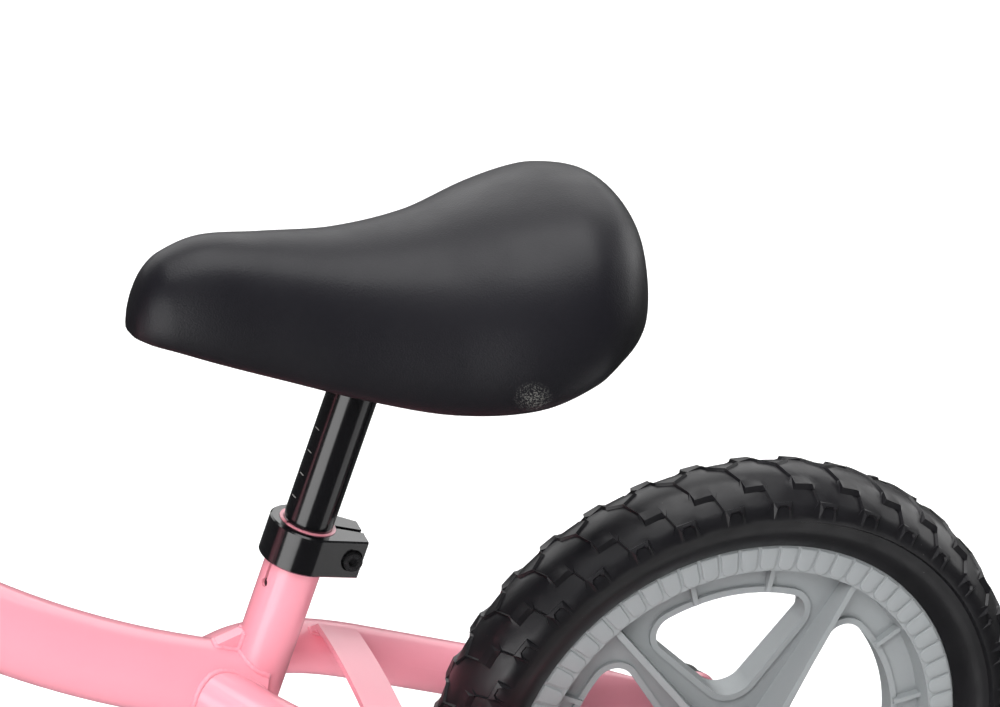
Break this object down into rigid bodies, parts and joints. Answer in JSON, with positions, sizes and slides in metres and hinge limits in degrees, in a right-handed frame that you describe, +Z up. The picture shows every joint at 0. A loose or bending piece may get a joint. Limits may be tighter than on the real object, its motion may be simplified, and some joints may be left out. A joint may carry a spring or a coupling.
{
  "type": "balance bike",
  "caption": "Child's balance bike: curved tube frame, fork that steers, spoked wheels with foam tyres, soft saddle and handlebar on sliding posts, no pedals.",
  "frame": {"origin": "on the ground, midway between the axles and between the left and right sides", "axes": "+X forward, +Y to the rider's left, +Z up"},
  "size_m": [0.854, 0.396, 0.5802],
  "materials": {
    "frame_paint": "gloss powder coat, soft pink",
    "black_paint": "gloss black",
    "black_oxide": "black oxide",
    "plated_steel": "zinc plated",
    "rim_plastic": "satin moulded, light grey",
    "tyre_foam": "closed-cell foam, satin black",
    "saddle_skin": "matte vinyl with fine grain",
    "black_plastic": "satin moulded black",
    "grip_rubber": "matte ribbed rubber"
  },
  "bodies": {
    "frame": {"main_tube": "frame_paint", "seat_tube": "frame_paint", "head_tube": "frame_paint", "seat_gusset": "frame_paint", "stay_left": "frame_paint", "stay_right": "frame_paint", "stay_bridge": "frame_paint", "rear_dropout_left": "frame_paint", "rear_dropout_right": "frame_paint", "lower_cup": "black_paint", "upper_cup": "black_paint", "seat_clamp": "black_paint", "seat_clamp_screw": "black_oxide", "seat_clamp_nut": "black_oxide", "rear_axle": "plated_steel", "rear_axle_spacers": "plated_steel", "rear_axle_washers": "plated_steel", "rear_axle_nuts": "plated_steel", "rear_nut_caps": "black_plastic"},
    "fork": {"fork_steerer": "frame_paint", "fork_blade_left": "frame_paint", "fork_blade_right": "frame_paint", "fork_dropout_left": "frame_paint", "fork_dropout_right": "frame_paint", "crown_race": "plated_steel", "lower_balls": "plated_steel", "upper_balls": "plated_steel", "adjusting_cone": "black_oxide", "lock_washer": "black_oxide", "headset_locknut": "black_oxide", "bar_clamp": "black_paint", "bar_clamp_screw": "black_oxide", "bar_clamp_nut": "black_oxide", "front_axle": "plated_steel", "front_axle_spacers": "plated_steel", "front_axle_washers": "plated_steel", "front_axle_nuts": "plated_steel", "front_nut_caps": "black_plastic"},
    "rear_wheel": {"rear_rim": "rim_plastic", "rear_spokes": "rim_plastic", "rear_tyre": "tyre_foam", "rear_hub_bearings": "plated_steel"},
    "front_wheel": {"front_rim": "rim_plastic", "front_spokes": "rim_plastic", "front_tyre": "tyre_foam", "front_hub_bearings": "plated_steel"},
    "seat": {"seat_post": "black_paint", "seat_post_plug": "black_plastic", "saddle_plate": "black_paint", "saddle_base": "black_plastic", "saddle_screws": "black_oxide", "saddle_pad": "saddle_skin"},
    "bar": {"stem_post": "black_paint", "stem_post_plug": "black_plastic", "handlebar": "black_paint", "grip_left": "grip_rubber", "grip_right": "grip_rubber"}
  },
  "joints": [
    {"name": "steering", "type": "hinge", "parent": "frame", "child": "fork", "pos_m": [0.25651, 0, 0.13845], "axis": [-0.342, 0, 0.9397], "range_deg": [-90, 90]},
    {"name": "front_wheel_spin", "type": "hinge", "parent": "fork", "child": "front_wheel", "pos_m": [0.28, 0, 0.147], "axis": [0, 1, 0], "continuous": true},
    {"name": "rear_wheel_spin", "type": "hinge", "parent": "frame", "child": "rear_wheel", "pos_m": [-0.28, 0, 0.147], "axis": [0, 1, 0], "continuous": true},
    {"name": "saddle_height", "type": "slide", "parent": "frame", "child": "seat", "axis": [-0.342, 0, 0.9397], "range_m": [-0.044, 0.015]},
    {"name": "handlebar_height", "type": "slide", "parent": "fork", "child": "bar", "axis": [-0.342, 0, 0.9397], "range_m": [-0.03, 0.03]}
  ]
}
